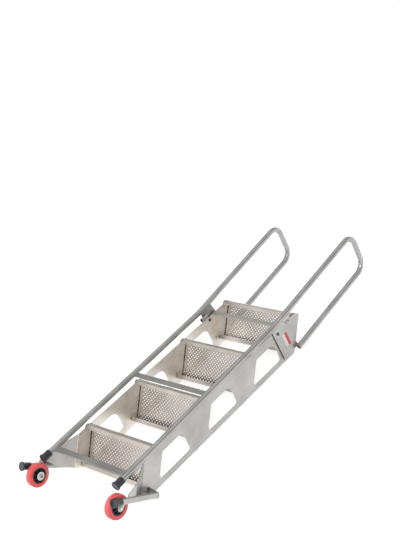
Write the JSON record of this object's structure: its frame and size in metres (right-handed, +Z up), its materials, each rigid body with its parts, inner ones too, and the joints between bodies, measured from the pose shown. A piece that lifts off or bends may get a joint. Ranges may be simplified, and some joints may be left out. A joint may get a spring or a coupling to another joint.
{
  "type": "rolling folding step ladder",
  "caption": "Folding step ladder of stainless sheet and tube with perforated steps, tall handrail loops, rubber feet and small wheels at its foot for rolling it away folded.",
  "frame": {"origin": "middle of the folded ladder's box on the floor it lies on", "axes": "+X across to the right wheel, +Y along the stringers from the wheels to the handrail loops, +Z up, from the climber's side to the rear legs"},
  "size_m": [0.6012, 1.7842, 0.2906],
  "materials": {
    "stainless_steel": "brushed and polished",
    "zinc_bolt": "plated",
    "red_tyre": "satin polyurethane",
    "black_hub": "moulded",
    "rubber_cap": "matt rubber"
  },
  "bodies": {
    "stair_frame": {"step_1": "stainless_steel", "step_2": "stainless_steel", "step_3": "stainless_steel", "step_4": "stainless_steel", "brace_top": "stainless_steel", "stringer_left": "stainless_steel", "stringer_right": "stainless_steel", "foot_tube_left": "stainless_steel", "foot_tube_right": "stainless_steel", "foot_bracket_left": "stainless_steel", "foot_bracket_right": "stainless_steel", "foot_cap_left": "rubber_cap", "foot_cap_right": "rubber_cap", "wheel_ear_left": "stainless_steel", "wheel_ear_right": "stainless_steel", "axle_bolt_left": "zinc_bolt", "axle_bolt_right": "zinc_bolt", "pivot_pin_left": "zinc_bolt", "pivot_pin_right": "zinc_bolt", "pivot_spacer_left": "stainless_steel", "pivot_spacer_right": "stainless_steel"},
    "rear_frame": {"brace_bottom": "stainless_steel", "brace_middle": "stainless_steel", "rail_left": "stainless_steel", "rail_right": "stainless_steel", "leg_cap_left": "rubber_cap", "leg_cap_right": "rubber_cap", "rail_plate_left": "stainless_steel", "rail_plate_right": "stainless_steel", "latch_tube_left": "stainless_steel", "latch_tube_right": "stainless_steel"},
    "wheel_left": {"tyre_left": "red_tyre", "hub_left": "black_hub"},
    "wheel_right": {"tyre_right": "red_tyre", "hub_right": "black_hub"}
  },
  "joints": [
    {"name": "fold", "type": "hinge", "parent": "stair_frame", "child": "rear_frame", "pos_m": [0, 0.24949, 0.1474], "axis": [-1, 0, 0], "range_deg": [0, 61.6]},
    {"name": "wheel_left_spin", "type": "hinge", "parent": "stair_frame", "child": "wheel_left", "pos_m": [-0.2418, -0.84128, 0.11841], "axis": [1, 0, 0], "continuous": true},
    {"name": "wheel_right_spin", "type": "hinge", "parent": "stair_frame", "child": "wheel_right", "pos_m": [0.2418, -0.84128, 0.11841], "axis": [1, 0, 0], "continuous": true}
  ]
}
